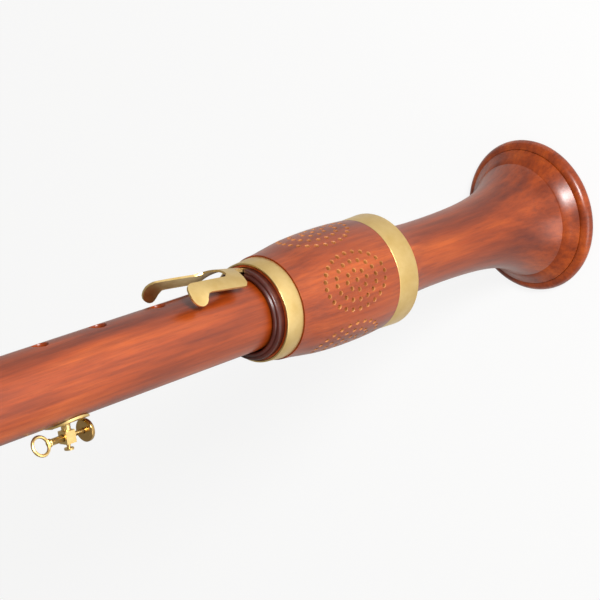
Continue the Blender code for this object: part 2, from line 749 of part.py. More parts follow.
def make_spring(name, rivet, free, hinge_height, steel, parent):
    """A flat spring riveted under a lever, whose free end bears on the key bed."""
    start = (HINGE_RISE - rivet[0], rivet[1] - hinge_height)
    end = (HINGE_RISE - free[0], free[1] - hinge_height)
    lean = math.copysign(0.0022, end[1] - start[1])
    line = [start, (start[0], start[1] + lean)]
    for share in (0.25, 0.5, 0.75, 1.0):
        across = start[0] + (end[0] - start[0]) * (1 - (1 - share) ** 1.6)
        line.append((across, start[1] + lean + (end[1] - start[1] - lean) * share))
    outline = line + [(across + SPRING_THICKNESS, up) for across, up in line[::-1]]
    extruded(name, outline, -SPRING_WIDTH / 2, SPRING_WIDTH / 2, steel, parent)


def make_pad_lever(brass, steel, leather, hinge):
    """The pad lever, drawn closed; its hinge empty holds it open."""
    under = HINGE_RISE + CONTACT_LIFT + 0.0010
    tip = KEY_CONTACT + 0.0015
    top = [(under + 0.0013, tip), (under + 0.0013, KEY_CONTACT - 0.0025), (0.0268, 0.2215)]
    top_after = [(0.0260, 0.2145), (0.0256, 0.2040), (0.0250, PAD_HEIGHT - 0.0035)]
    bottom_after = [(0.0240, PAD_HEIGHT - 0.0035), (0.0240, 0.2040), (0.0240, 0.2145)]
    bottom = [(0.0247, 0.2215), (under, KEY_CONTACT - 0.0025), (under, tip)]
    top, bottom = lever_side(top, bottom, PAD_HINGE)
    top_after, bottom_after = lever_side(top_after, bottom_after, PAD_HINGE)
    outline = top + arc((0.0, 0.0), BOSS_RADIUS, 155, 205, 4) + top_after
    outline += bottom_after + arc((0.0, 0.0), BOSS_RADIUS, -25, 25, 4) + bottom
    width = LEVER_WIDTH
    lever = extruded("pad_lever", outline, -width / 2, width / 2, brass, hinge)
    pad_floor = BED_DEPTH + GAP
    cup_floor = pad_floor + PAD_THICKNESS + GAP
    cup = bmesh.new()
    disc = ((0.0, cup_floor), (CUP_RADIUS, cup_floor), (CUP_RADIUS, cup_floor + CUP_THICKNESS),
            (CUP_RADIUS * 0.45, cup_floor + CUP_THICKNESS + 0.0006),
            (0.0, cup_floor + CUP_THICKNESS + 0.0006))
    shift = Matrix.Translation((0.0, HINGE_RISE, -PAD_HINGE))
    add_turned(cup, disc, SMALL_SIDES, shift @ facing(FRONT, PAD_HEIGHT))
    guide(lever, cup, "pad_cup_join", "UNION")
    hole = bmesh.new()
    bar = rod_outline(PIN_RADIUS + PIN_PLAY, -LEVER_WIDTH, LEVER_WIDTH)
    add_turned(hole, bar, FINE_SIDES, along_x(0.0, 0.0))
    guide(lever, hole, "pad_pin_hole")
    edge = 0.0004
    pad = ((0.0, pad_floor), (PAD_RADIUS - edge, pad_floor), (PAD_RADIUS, pad_floor + edge),
           (PAD_RADIUS, pad_floor + PAD_THICKNESS), (0.0, pad_floor + PAD_THICKNESS))
    turned("key_pad", pad, leather, hinge, SMALL_SIDES, shift @ facing(FRONT, PAD_HEIGHT))
    rivet = (0.0240 - GAP, 0.2135)
    free = (BED_DEPTH + GAP + SPRING_THICKNESS, PAD_HEIGHT + CUP_RADIUS + 0.0010)
    make_spring("pad_spring", rivet, free, PAD_HINGE, steel, hinge)


def make_plate(brass, root):
    """The thumb rest's bracket: an oval plate bent round the body, a post and a block."""
    inner = tube_radius(REST_HEIGHT) + GAP
    rings, sides = 4, 24
    bm = bmesh.new()

    def corner(distance, up, lift):
        angle = BACK + distance / (inner + lift)
        return (math.cos(angle) * (inner + lift), math.sin(angle) * (inner + lift),
                REST_HEIGHT + up)

    layers = []
    for lift in (0.0, PLATE_THICKNESS):
        rows = [[bm.verts.new(corner(0.0, 0.0, lift))]]
        for ring in range(1, rings + 1):
            row = []
            for side in range(sides):
                turn = 2 * math.pi * side / sides
                row.append(bm.verts.new(corner(
                    PLATE_HALF_WIDTH * ring / rings * math.cos(turn),
                    PLATE_HALF_LENGTH * ring / rings * math.sin(turn), lift)))
            rows.append(row)
        layers.append(rows)
        for side in range(sides):
            after = (side + 1) % sides
            bm.faces.new((rows[0][0], rows[1][side], rows[1][after]))
            for low, high in zip(rows[1:], rows[2:]):
                bm.faces.new((low[side], high[side], high[after], low[after]))
    for side in range(sides):
        after = (side + 1) % sides
        low, high = layers[0][-1], layers[1][-1]
        bm.faces.new((low[side], high[side], high[after], low[after]))
    plate = place(bm, "thumb_rest_bracket", brass, root)
    block_low = ROD_REACH - BLOCK_DEPTH / 2
    post = bmesh.new()
    foot = inner + PLATE_THICKNESS / 2
    outline = ((0.0, foot), (POST_RADIUS * 1.25, foot), (POST_RADIUS, foot + 0.0016),
               (POST_RADIUS, block_low + 0.0005), (0.0, block_low + 0.0005))
    add_turned(post, outline, SMALL_SIDES, facing(BACK, REST_HEIGHT))
    guide(plate, post, "thumb_post_join", "UNION")
    block = bmesh.new()
    half = BLOCK_SIDE / 2
    add_extruded(block, box_outline((block_low, REST_HEIGHT - half),
                                    (block_low + BLOCK_DEPTH, REST_HEIGHT + half)), -half, half)
    guide(plate, block, "thumb_block_join", "UNION")
    holes = bmesh.new()
    bore = rod_outline(ROD_RADIUS + SLIDE_PLAY, -BLOCK_SIDE, BLOCK_SIDE)
    add_turned(holes, bore, SMALL_SIDES, Matrix.Translation((0.0, ROD_REACH, REST_HEIGHT)))
    guide(plate, holes, "thumb_rod_bore")
    screws = bmesh.new()
    thread = rod_outline(CLAMP_SHANK + SLIDE_PLAY, ROD_REACH, ROD_REACH + BLOCK_DEPTH)
    add_turned(screws, thread, FINE_SIDES, facing(BACK, REST_HEIGHT))
    for side in (-1, 1):
        shaft = rod_outline(SCREW_HOLE, inner / 2, inner + 2 * PLATE_THICKNESS)
        add_turned(screws, shaft, 8, facing(BACK, REST_HEIGHT + side * PLATE_SCREW_PITCH))
    guide(plate, screws, "thumb_screw_holes")
    return inner + PLATE_THICKNESS


def make_thumb_rest(brass, polished, steel, root, rod_body, clamp_body):
    """The bracket, and the pieces that slide and turn in it."""
    plate_top = make_plate(brass, root)
    for side, word in ((-1, "lower"), (1, "upper")):
        turned("thumb_plate_screw_" + word,
               screw_outline(plate_top + GAP / 3, SCREW_DEPTH + PLATE_THICKNESS - GAP),
               steel, root, 10, facing(BACK, REST_HEIGHT + side * PLATE_SCREW_PITCH))
    step = -ROD_STEP
    shank_low = -KNOB_DROP - KNOB_THICKNESS * 0.6
    outline = ((0.0, shank_low), (SHANK_RADIUS, shank_low), (SHANK_RADIUS, step),
               (ROD_RADIUS, step), (ROD_RADIUS, ROD_TOP - 0.0012),
               (ROD_RADIUS + 0.0005, ROD_TOP - 0.0008), (ROD_RADIUS + 0.0005, ROD_TOP + 0.0003),
               (0.0, ROD_TOP + 0.0003))
    rod = turned("thumb_rod", outline, brass, rod_body, SMALL_SIDES)
    ring = bmesh.new()
    wire = arc((STRAP_RING_RADIUS, 0.0), STRAP_RING_WIRE, 0, 315, 7)
    stand = (Matrix.Translation((0.0, 0.0, ROD_TOP + STRAP_RING_RADIUS + STRAP_RING_WIRE / 2))
             @ Matrix.Rotation(STRAP_RING_TURN, 4, "Z") @ Matrix.Rotation(math.pi / 2, 4, "Y"))
    add_turned(ring, wire, 24, stand)
    guide(rod, ring, "strap_ring_join", "UNION")
    knob_top = -KNOB_DROP
    dome = arc((KNOB_RADIUS - 0.0012, knob_top - KNOB_THICKNESS + 0.0020), 0.0012, 0, -80, 3)
    hollow = SHANK_RADIUS + PIN_PLAY
    depth = knob_top - KNOB_THICKNESS * 0.6 - GAP
    outline = [(hollow, depth), (hollow, knob_top), (KNOB_RADIUS - 0.0008, knob_top),
               (KNOB_RADIUS, knob_top - 0.0008)]
    outline += dome + [(KNOB_RADIUS * 0.45, knob_top - KNOB_THICKNESS + 0.0002)]
    outline += [(0.0, knob_top - KNOB_THICKNESS), (0.0, depth)]
    turned("thumb_knob", outline, polished, rod_body, SIDES)
    tip = ROD_REACH + ROD_RADIUS + GAP
    neck = ROD_REACH + BLOCK_DEPTH / 2 + CLAMP_HEAD_THICKNESS
    head = tip + CLAMP_REACH - CLAMP_HEAD_THICKNESS
    outline = ((0.0, tip), (CLAMP_SHANK, tip), (CLAMP_SHANK, neck), (CLAMP_SHANK * 0.8, neck),
               (CLAMP_SHANK * 0.8, head), (CLAMP_HEAD_RADIUS, head),
               (CLAMP_HEAD_RADIUS, head + CLAMP_HEAD_THICKNESS), (0.0, head + CLAMP_HEAD_THICKNESS))
    turned("thumb_clamp_screw", outline, brass, clamp_body, SMALL_SIDES, facing(BACK, 0.0))


def make_head(wood, brass, pale_wood, head):
    """The head joint with its window, lip, windway, block and socket ring."""
    ring_high = HEAD_BOTTOM + HEAD_RING_WIDTH
    seat = HEAD_RING_RADIUS - RING_WALL - GAP
    socket = TENON_RADIUS + CORK_PROUD + GAP
    socket_top = TENON_TOP + GAP
    spigot_low = HEAD_TOP - SPIGOT_LENGTH
    waist = HEAD_RADIUS - 0.0008
    outline = [(socket, HEAD_BOTTOM), (seat, HEAD_BOTTOM), (seat, ring_high + GAP)]
    outline += [(HEAD_RING_RADIUS + 0.0002, ring_high + GAP)]
    outline += arc((HEAD_RADIUS + 0.0006, ring_high + 0.0026), 0.0010, -50, 90, 4)
    outline += [(HEAD_RADIUS, ring_high + 0.0048), (waist, HEAD_BOTTOM + 0.0700)]
    outline += [(waist, spigot_low), (SPIGOT_RADIUS, spigot_low), (SPIGOT_RADIUS, HEAD_TOP)]
    outline += [(BORE_RADIUS, HEAD_TOP), (BORE_RADIUS, socket_top), (socket, socket_top)]
    joint = turned("head_joint", outline, wood, head)
    window = bmesh.new()
    lip = BORE_RADIUS + LIP_THICKNESS
    outside = HEAD_RADIUS + 0.0010
    ramp = ((-BORE_RADIUS * 0.8, WINDOW_HEIGHT), (-lip, WINDOW_HEIGHT),
            (-outside, WINDOW_HEIGHT - RAMP_LENGTH), (-outside, WINDOW_HEIGHT + WINDOW_LENGTH),
            (-BORE_RADIUS * 0.8, WINDOW_HEIGHT + WINDOW_LENGTH))
    add_extruded(window, ramp, -WINDOW_WIDTH / 2, WINDOW_WIDTH / 2)
    guide(joint, window, "window_cut")
    windway = bmesh.new()
    half = WINDOW_WIDTH / 2 - 0.0004
    low = WINDOW_HEIGHT + WINDOW_LENGTH * 0.6
    add_extruded(windway, box_outline((-BORE_RADIUS - WINDWAY_DEPTH, low),
                                      (-BORE_RADIUS * 0.7, HEAD_TOP + GAP)), -half, half)
    guide(joint, windway, "windway_cut")
    turned("head_ring", band_outline(HEAD_BOTTOM, ring_high,
                                     (HEAD_RING_RADIUS, HEAD_RING_RADIUS), RING_WALL), brass, head)
    block_low = WINDOW_HEIGHT + WINDOW_LENGTH
    fit = BORE_RADIUS - BLOCK_PLAY
    outline = ((0.0, block_low), (fit - 0.0004, block_low), (fit, block_low + 0.0004),
               (fit, HEAD_TOP), (0.0, HEAD_TOP))
    turned("fipple_block", outline, pale_wood, head)


def make_tenon_cork(cork, root):
    """The cork lapping in the tenon's groove."""
    low = BODY_HEIGHT + (TENON_LENGTH - CORK_LENGTH) / 2 + GAP
    high = low + CORK_LENGTH - 2 * GAP
    inner = TENON_RADIUS - CORK_DEPTH + GAP
    outer = TENON_RADIUS + CORK_PROUD - GAP / 2
    turned("tenon_cork", ((inner, low), (outer, low), (outer, high), (inner, high)), cork, root)


def make_cap(wood, brass, cap):
    """The wind cap, its ring and the bush that takes the crook."""
    ring_high = CAP_BOTTOM + CAP_RING_WIDTH
    seat = CAP_RING_RADIUS - RING_WALL - GAP
    socket = SPIGOT_RADIUS + GAP
    chamber_low = HEAD_TOP + 0.0010
    chamber_high = CAP_TOP - BUSH_LENGTH - 0.0030
    dome = [(CAP_RADIUS, ring_high + 0.0060), (CAP_RADIUS - 0.0006, ring_high + 0.0200),
            (CAP_RADIUS - 0.0040, CAP_TOP - 0.0180), (CAP_NOSE + 0.0030, CAP_TOP - 0.0085),
            (CAP_NOSE, CAP_TOP - 0.0062)]
    outline = [(socket, CAP_BOTTOM), (seat, CAP_BOTTOM), (seat, ring_high + GAP)]
    outline += [(CAP_RING_RADIUS, ring_high + GAP)]
    outline += arc((CAP_RADIUS - 0.0002, ring_high + 0.0020), 0.0010, -50, 80, 3)
    outline += curve_through(dome, 2)
    outline += arc((CAP_NOSE, CAP_TOP - 0.0030), 0.0018, -70, 80, 4)
    outline += [(CAP_NOSE - 0.0016, CAP_TOP), (BUSH_RADIUS + GAP, CAP_TOP)]
    outline += [(BUSH_RADIUS + GAP, chamber_high), (CAP_CHAMBER, chamber_high - 0.0060)]
    outline += [(CAP_CHAMBER, chamber_low), (socket, chamber_low)]
    turned("wind_cap", outline, wood, cap)
    turned("wind_cap_ring", band_outline(CAP_BOTTOM, ring_high,
                                         (CAP_RING_RADIUS, CAP_RING_RADIUS), RING_WALL), brass, cap)
    flange = CAP_TOP + GAP
    outline = ((BUSH_BORE, flange - BUSH_LENGTH), (BUSH_RADIUS, flange - BUSH_LENGTH),
               (BUSH_RADIUS, flange), (BUSH_FLANGE, flange),
               (BUSH_FLANGE, flange + BUSH_FLANGE_THICKNESS * 0.6),
               (BUSH_FLANGE - 0.0008, flange + BUSH_FLANGE_THICKNESS),
               (BUSH_BORE, flange + BUSH_FLANGE_THICKNESS))
    turned("crook_bush", outline, brass, cap, SMALL_SIDES)


def crook_path():
    """The crook's middle line, as (back, up) points measured from its foot on the axis."""
    top = BUSH_LENGTH + CROOK_RISE
    path = [(0.0, 0.0), (0.0, BUSH_LENGTH), (0.0, top)]
    sweep = 180 - math.degrees(CROOK_SPLAY)
    bend = arc((CROOK_BEND, top), CROOK_BEND, 180, 180 - sweep, 12)
    path += bend[1:]
    end = path[-1]
    fall = (math.sin(CROOK_SPLAY), -math.cos(CROOK_SPLAY))
    for share in (0.33, 0.66, 1.0):
        path.append((end[0] + fall[0] * CROOK_DROP * share,
                     end[1] + fall[1] * CROOK_DROP * share))
    return path


def make_crook(brass, cork, horn, crook):
    """The brass crook, its cork and its mouthpiece."""
    path = crook_path()
    sides = 12
    bm = bmesh.new()
    walls = []
    for radius in (CROOK_RADIUS, CROOK_BORE):
        rings = []
        for index, spot in enumerate(path):
            before = Vector(path[max(index - 1, 0)])
            after = Vector(path[min(index + 1, len(path) - 1)])
            along = (after - before).normalized()
            normal = Vector((0.0, along[1], -along[0]))
            ring = []
            for side in range(sides):
                turn = 2 * math.pi * side / sides
                offset = normal * math.cos(turn) * radius
                ring.append(bm.verts.new((math.sin(turn) * radius, spot[0] + offset[1],
                                          spot[1] + offset[2])))
            rings.append(ring)
        walls.append(rings)
    for rings in walls:
        for low, high in zip(rings, rings[1:]):
            for side in range(sides):
                after = (side + 1) % sides
                bm.faces.new((low[side], low[after], high[after], high[side]))
    for end in (0, -1):
        for side in range(sides):
            after = (side + 1) % sides
            bm.faces.new((walls[0][end][side], walls[0][end][after],
                          walls[1][end][after], walls[1][end][side]))
    place(bm, "crook", brass, crook)
    cork_low = 0.0010
    cork_high = BUSH_LENGTH - 0.0020
    inner = CROOK_RADIUS + PIN_PLAY
    turned("crook_cork", ((inner, cork_low), (CROOK_CORK - 0.0004, cork_low),
                          (CROOK_CORK, cork_high), (inner, cork_high)), cork, crook, SMALL_SIDES)
    end = path[-1]
    mouth = (Matrix.Translation((0.0, end[0], end[1]))
             @ Matrix.Rotation(math.pi + CROOK_SPLAY, 4, "X"))
    inner = CROOK_RADIUS + PIN_PLAY
    low, high = -TIP_LAP, TIP_LENGTH - TIP_LAP
    outline = [(inner, low), (TIP_RADIUS - 0.0012, low)]
    outline += arc((TIP_RADIUS - 0.0012, low + 0.0014), 0.0012, -80, 90, 4)
    outline += curve_through([(TIP_RADIUS - 0.0016, low + 0.0032), (0.0046, 0.0020),
                              (0.0044, 0.0120), (TIP_END_RADIUS, high - TIP_EDGE)], 2)
    outline += [(0.0048, high), (CROOK_BORE, high), (CROOK_BORE, GAP), (inner, GAP)]
    turned("crook_mouthpiece", outline, horn, crook, SMALL_SIDES, mouth)


def build():
    """Make every piece of the recorder."""
    clear_scene()
    wood = material("stained_maple", (0.36, 0.075, 0.022), 0.30)
    dark_wood = material("dark_maple", (0.13, 0.028, 0.016), 0.34)
    pale_wood = material("cedar", (0.52, 0.30, 0.17), 0.60)
    brass = material("brushed_brass", (0.74, 0.53, 0.22), 0.34, 1.0)
    polished = material("polished_brass", (0.70, 0.48, 0.20), 0.12, 1.0)
    steel = material("blued_steel", (0.28, 0.28, 0.30), 0.30, 1.0)
    cork = material("cork", (0.55, 0.36, 0.19), 0.85)
    leather = material("pad_leather", (0.60, 0.47, 0.33), 0.75)
    horn = material("dark_horn", (0.035, 0.025, 0.020), 0.25)

    root = empty("instrument_axis", (0.0, AXIS_Y, 0.0))
    touch = empty("touch_hinge_axis", (0.0, -HINGE_RISE, TOUCH_HINGE), root)
    pad = empty("pad_hinge_axis", (0.0, -HINGE_RISE, PAD_HINGE), root, -PAD_OPEN)
    rod = empty("thumb_rod_axis", (0.0, ROD_REACH, REST_HEIGHT), root)
    clamp = empty("clamp_screw_axis", (0.0, 0.0, REST_HEIGHT), root)
    head = empty("head_axis", (0.0, 0.0, 0.0), root)
    cap = empty("cap_axis", (0.0, 0.0, 0.0), head)
    crook_foot = CAP_TOP + GAP - BUSH_LENGTH
    crook = empty("crook_axis", (0.0, 0.0, crook_foot), cap)

    make_body(wood, root)
    make_tenon_cork(cork, root)
    make_cover(wood, dark_wood, brass, root)
    make_key_fixings(brass, steel, root)
    make_touch(brass, steel, touch)
    make_pad_lever(brass, steel, leather, pad)
    make_thumb_rest(brass, polished, steel, root, rod, clamp)
    make_head(wood, brass, pale_wood, head)
    make_cap(wood, brass, cap)
    make_crook(brass, cork, horn, crook)


build()
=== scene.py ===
import json
import math

import bmesh
import bpy
from mathutils import Matrix, Vector

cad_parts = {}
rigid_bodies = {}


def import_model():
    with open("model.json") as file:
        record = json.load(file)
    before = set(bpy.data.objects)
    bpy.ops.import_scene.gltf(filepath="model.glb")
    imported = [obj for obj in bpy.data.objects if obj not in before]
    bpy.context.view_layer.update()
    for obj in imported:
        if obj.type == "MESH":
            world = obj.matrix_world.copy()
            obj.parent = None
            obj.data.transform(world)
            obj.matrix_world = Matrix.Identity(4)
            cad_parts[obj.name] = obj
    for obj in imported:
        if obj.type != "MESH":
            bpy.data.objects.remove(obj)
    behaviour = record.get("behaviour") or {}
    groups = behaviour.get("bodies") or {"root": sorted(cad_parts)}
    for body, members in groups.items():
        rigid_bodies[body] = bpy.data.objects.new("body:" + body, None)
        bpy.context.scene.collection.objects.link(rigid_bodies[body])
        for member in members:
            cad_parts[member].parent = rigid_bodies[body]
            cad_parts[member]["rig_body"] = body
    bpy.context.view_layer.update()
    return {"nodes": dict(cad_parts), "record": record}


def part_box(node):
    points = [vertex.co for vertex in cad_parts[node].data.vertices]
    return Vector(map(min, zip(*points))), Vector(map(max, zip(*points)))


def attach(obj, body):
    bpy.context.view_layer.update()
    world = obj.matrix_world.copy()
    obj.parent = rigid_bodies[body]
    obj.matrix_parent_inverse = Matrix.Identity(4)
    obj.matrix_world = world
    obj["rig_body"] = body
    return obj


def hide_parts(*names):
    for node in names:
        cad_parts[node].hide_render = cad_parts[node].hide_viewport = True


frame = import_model()
NODES = frame["nodes"]

# The bore's axis and the heights that the turned pieces share, read from the frame
RING_LOW, RING_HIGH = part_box("cover_upper_ring")
AXIS_Y = (RING_LOW.y + RING_HIGH.y) / 2
COVER_TOP = RING_HIGH.z
COVER_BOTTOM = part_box("cover_lower_ring")[0].z
TENON_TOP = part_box("body_joint")[1].z
HEAD_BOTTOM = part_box("head_joint")[0].z

# Sizes in metres, the same as the solids have
SIDES = 144
SMALL_SIDES = 48
GAP = 0.0003
RIM_RADIUS, RIM_HEIGHT, RIM_BEAD = 0.0488, 0.0033, 0.0051
END_FACE_OUTER, MOUTH_RADIUS = 0.0462, 0.0395
GROOVE_HEIGHT, GROOVE_RADIUS, GROOVE_DEPTH = 0.0165, 0.0362, 0.0006
NECK_RADIUS, FLARE_LENGTH, FLARE_POWER = 0.0202, 0.0240, 1.1
BELL_LENGTH, BORE_RADIUS = 0.1300, 0.0125
TUBE_RADIUS, TUBE_TAPER = 0.0212, 0.0040
SHOULDER_RADIUS, SHOULDER_HEIGHT, SHOULDER_FLARE = 0.0262, COVER_BOTTOM - GAP, 0.0140
BODY_HEIGHT = HEAD_BOTTOM - GAP
TENON_RADIUS = 0.0169
FRONT_HOLES = ((0.3300, 0.0042), (0.3740, 0.0045), (0.4150, 0.0043),
               (0.4850, 0.0043), (0.5350, 0.0046), (0.5870, 0.0042))
THUMB_HOLE = (0.6120, 0.0036)
DISH_WIDTH, DISH_DEPTH = 0.0024, 0.0014
BED_DEPTH, BED_BOTTOM, BED_TOP, BED_WIDTH = 0.0202, 0.1860, 0.2600, 0.0142
PAD_HEIGHT, TONE_HOLE_RADIUS = 0.1960, 0.0045
COVER_WALL, COVER_MOUTH, COVER_THROAT, COVER_FOOT = 0.0026, 0.0268, 0.0282, 0.0216
COVER_OUTLINE = ((0.0123, 0.0308), (0.0200, 0.0315), (0.0300, 0.0329), (0.0420, 0.0343),
                 (0.0600, 0.0350), (0.0780, 0.0347), (0.0905, 0.0339))
UPPER_RING_WIDTH, UPPER_RING_RADII = 0.0120, (0.0291, 0.0301)
LOWER_RING_WIDTH, LOWER_RING_RADII = 0.0160, (0.0338, 0.0343)
RING_WALL = 0.0009
ROSETTES, ROSETTE_DEPTH, ROSETTE_PHASE = 5, 0.0549, math.radians(-5.1)
ROSETTE_RINGS, HOLES_PER_RING = 3, 8
HOLE_PITCH_UP, HOLE_PITCH_ROUND = 0.0080, math.radians(9.4)
HOLE_RADIUS, HOLE_CHAMFER, HOLE_SIDES = 0.0012, 0.0003, 14
HOLE_WALL_AREA = 4e-6
COLLAR_RADIUS, COLLAR_BORE, COLLAR_PLUG = 0.02675, 0.0219, 0.0080
COLLAR_RISE, KEY_SLOT = 0.0059, 0.0088
HEAD_RING_RADIUS, CAP_RING_RADIUS = 0.0254, 0.0245
SHARP_EDGE = math.radians(32)
BROKEN_EDGE = 0.00012
FRONT, BACK = -math.pi / 2, math.pi / 2

# Camera: the pose fitted to the photograph, with the bore's axis at x = y = 0
CAMERA_AT = Vector((-1.001447, -0.294231, 1.221480))
CAMERA_RIGHT = Vector((-0.72030792, 0.13323385, -0.68073875))
CAMERA_UP = Vector((0.0473284, -0.96965326, -0.23985951))
CAMERA_BACK = Vector((-0.69203795, -0.20499098, 0.69214317))
CAMERA_LENS = 150

# Share of plain white that the camera sees in the floor; the rest shows its light and shadow
FLOOR_WHITENESS = 0.86


def set_camera():
    """A long lens at the photograph's viewing angle."""
    data = bpy.data.cameras.new("camera")
    data.lens = CAMERA_LENS
    data.sensor_width = 36
    data.clip_start = 0.05
    camera = bpy.data.objects.new("camera", data)
    bpy.context.scene.collection.objects.link(camera)
    turn = Matrix((CAMERA_RIGHT, CAMERA_UP, CAMERA_BACK)).transposed().to_4x4()
    camera.matrix_world = Matrix.Translation(CAMERA_AT + Vector((0, AXIS_Y, 0))) @ turn
    bpy.context.scene.camera = camera


def add_lamp(name, offset, size, watts):
    """A soft area lamp, placed by its offset from the key along the camera's own axes."""
    target = Vector((0, AXIS_Y, 0.25))
    data = bpy.data.lights.new(name, "AREA")
    data.shape = "DISK"
    data.size = size
    data.energy = watts
    lamp = bpy.data.objects.new(name, data)
    bpy.context.scene.collection.objects.link(lamp)
    place = target + CAMERA_RIGHT * offset[0] + CAMERA_UP * offset[1] + CAMERA_BACK * offset[2]
    lamp.location = place
    lamp.rotation_euler = (target - place).to_track_quat("-Z", "Y").to_euler()


def set_world():
    """Plain soft light, with a pale background for the camera and for transmission rays."""
    world = bpy.data.worlds.new("studio")
    world.use_nodes = True
    bpy.context.scene.world = world
    tree = world.node_tree
    tree.nodes.clear()
    path = tree.nodes.new("ShaderNodeLightPath")
    seen = tree.nodes.new("ShaderNodeMath")
    seen.operation = "MAXIMUM"
    tree.links.new(path.outputs["Is Camera Ray"], seen.inputs[0])
    tree.links.new(path.outputs["Is Transmission Ray"], seen.inputs[1])
    soft = tree.nodes.new("ShaderNodeBackground")
    soft.inputs["Color"].default_value = (1.0, 0.96, 0.90, 1)
    soft.inputs["Strength"].default_value = 0.34
    pale = tree.nodes.new("ShaderNodeBackground")
    pale.inputs["Color"].default_value = (0.93, 0.93, 0.92, 1)
    mix = tree.nodes.new("ShaderNodeMixShader")
    out = tree.nodes.new("ShaderNodeOutputWorld")
    tree.links.new(seen.outputs[0], mix.inputs[0])
    tree.links.new(soft.outputs[0], mix.inputs[1])
    tree.links.new(pale.outputs[0], mix.inputs[2])
    tree.links.new(mix.outputs[0], out.inputs["Surface"])


def base_material(name, roughness, metallic=0.0):
    """A node material and its tree and shader."""
    made = bpy.data.materials.new(name)
    made.use_nodes = True
    shader = made.node_tree.nodes["Principled BSDF"]
    shader.inputs["Roughness"].default_value = roughness
    shader.inputs["Metallic"].default_value = metallic
    return made, made.node_tree, shader


def stretched_noise(tree, stretch, scale, detail=6.0, roughness=0.6):
    """Noise in the piece's own space, stretched along its axes."""
    place = tree.nodes.new("ShaderNodeTexCoord")
    mapping = tree.nodes.new("ShaderNodeMapping")
    mapping.inputs["Scale"].default_value = stretch
    noise = tree.nodes.new("ShaderNodeTexNoise")
    noise.inputs["Scale"].default_value = scale
    noise.inputs["Detail"].default_value = detail
    noise.inputs["Roughness"].default_value = roughness
    tree.links.new(place.outputs["Object"], mapping.inputs["Vector"])
    tree.links.new(mapping.outputs["Vector"], noise.inputs["Vector"])
    return noise.outputs["Fac"]


def ramp(tree, factor, stops):
    """A colour ramp driven by a factor."""
    node = tree.nodes.new("ShaderNodeValToRGB")
    points = node.color_ramp.elements
    while len(points) < len(stops):
        points.new(0.5)
    for point, (position, colour) in zip(points, stops):
        point.position = position
        point.color = (*colour, 1)
    tree.links.new(factor, node.inputs["Fac"])
    return node.outputs["Color"]


def multiply(tree, first, second, amount):
    """Two colours multiplied."""
    node = tree.nodes.new("ShaderNodeMix")
    node.data_type = "RGBA"
    node.blend_type = "MULTIPLY"
    node.inputs["Factor"].default_value = amount
    tree.links.new(first, node.inputs["A"])
    tree.links.new(second, node.inputs["B"])
    return node.outputs["Result"]


def add_bump(tree, shader, height, strength, distance):
    """Fine relief on a shader."""
    bump = tree.nodes.new("ShaderNodeBump")
    bump.inputs["Strength"].default_value = strength
    bump.inputs["Distance"].default_value = distance
    tree.links.new(height, bump.inputs["Height"])
    tree.links.new(bump.outputs["Normal"], shader.inputs["Normal"])


def wood_material(name, dark, middle, light, roughness):
    """Stained wood: broad figure, long streaks of grain and short dark pores along the bore."""
    made, tree, shader = base_material(name, roughness)
    figure = stretched_noise(tree, (1, 1, 0.12), 55, 4)
    streaks = stretched_noise(tree, (1, 1, 0.03), 420, 8, 0.7)
    pores = stretched_noise(tree, (1, 1, 0.05), 1500, 3, 0.8)
    colour = ramp(tree, figure, ((0.30, dark), (0.52, middle), (0.75, light)))
    grain = ramp(tree, streaks, ((0.35, (0.55, 0.48, 0.45)), (0.6, (1.0, 1.0, 1.0))))
    fine = ramp(tree, pores, ((0.28, (0.45, 0.35, 0.32)), (0.42, (1.0, 1.0, 1.0))))
    colour = multiply(tree, multiply(tree, colour, grain, 0.75), fine, 0.6)
    tree.links.new(colour, shader.inputs["Base Color"])
    shader.inputs["Coat Weight"].default_value = 0.12
    shader.inputs["Coat Roughness"].default_value = 0.22
    add_bump(tree, shader, streaks, 0.25, 0.0002)
    return made


def brass_material(name, low, high, roughness, brushing):
    """Brass with fine turning marks round the bore and a faint change of tone."""
    made, tree, shader = base_material(name, roughness, 1.0)
    tone = stretched_noise(tree, (1, 1, 1), 90, 5)
    marks = stretched_noise(tree, (0.12, 0.12, 9), 900, 4, 0.7)
    tree.links.new(ramp(tree, tone, ((0.3, low), (0.7, high))), shader.inputs["Base Color"])
    spread = tree.nodes.new("ShaderNodeMapRange")
    spread.inputs["To Min"].default_value = roughness * 0.8
    spread.inputs["To Max"].default_value = roughness * 1.25
    tree.links.new(marks, spread.inputs["Value"])
    tree.links.new(spread.outputs["Result"], shader.inputs["Roughness"])
    add_bump(tree, shader, marks, brushing, 0.0001)
    return made


def speckled_material(name, dark, light, scale, roughness, metallic=0.0, relief=0.2):
    """Cork, leather, horn or steel: a mottled colour with a fine relief."""
    made, tree, shader = base_material(name, roughness, metallic)
    spots = stretched_noise(tree, (1, 1, 1), scale, 8, 0.65)
    tree.links.new(ramp(tree, spots, ((0.35, dark), (0.65, light))), shader.inputs["Base Color"])
    add_bump(tree, shader, spots, relief, 0.0002)
    return made


def arc(centre, radius, start, end, steps):
    """Points along an arc of the (radius, height) plane; the angles are in degrees."""
    points = []
    for step in range(steps + 1):
        angle = math.radians(start + (end - start) * step / steps)
        points.append((centre[0] + radius * math.cos(angle), centre[1] + radius * math.sin(angle)))
    return points


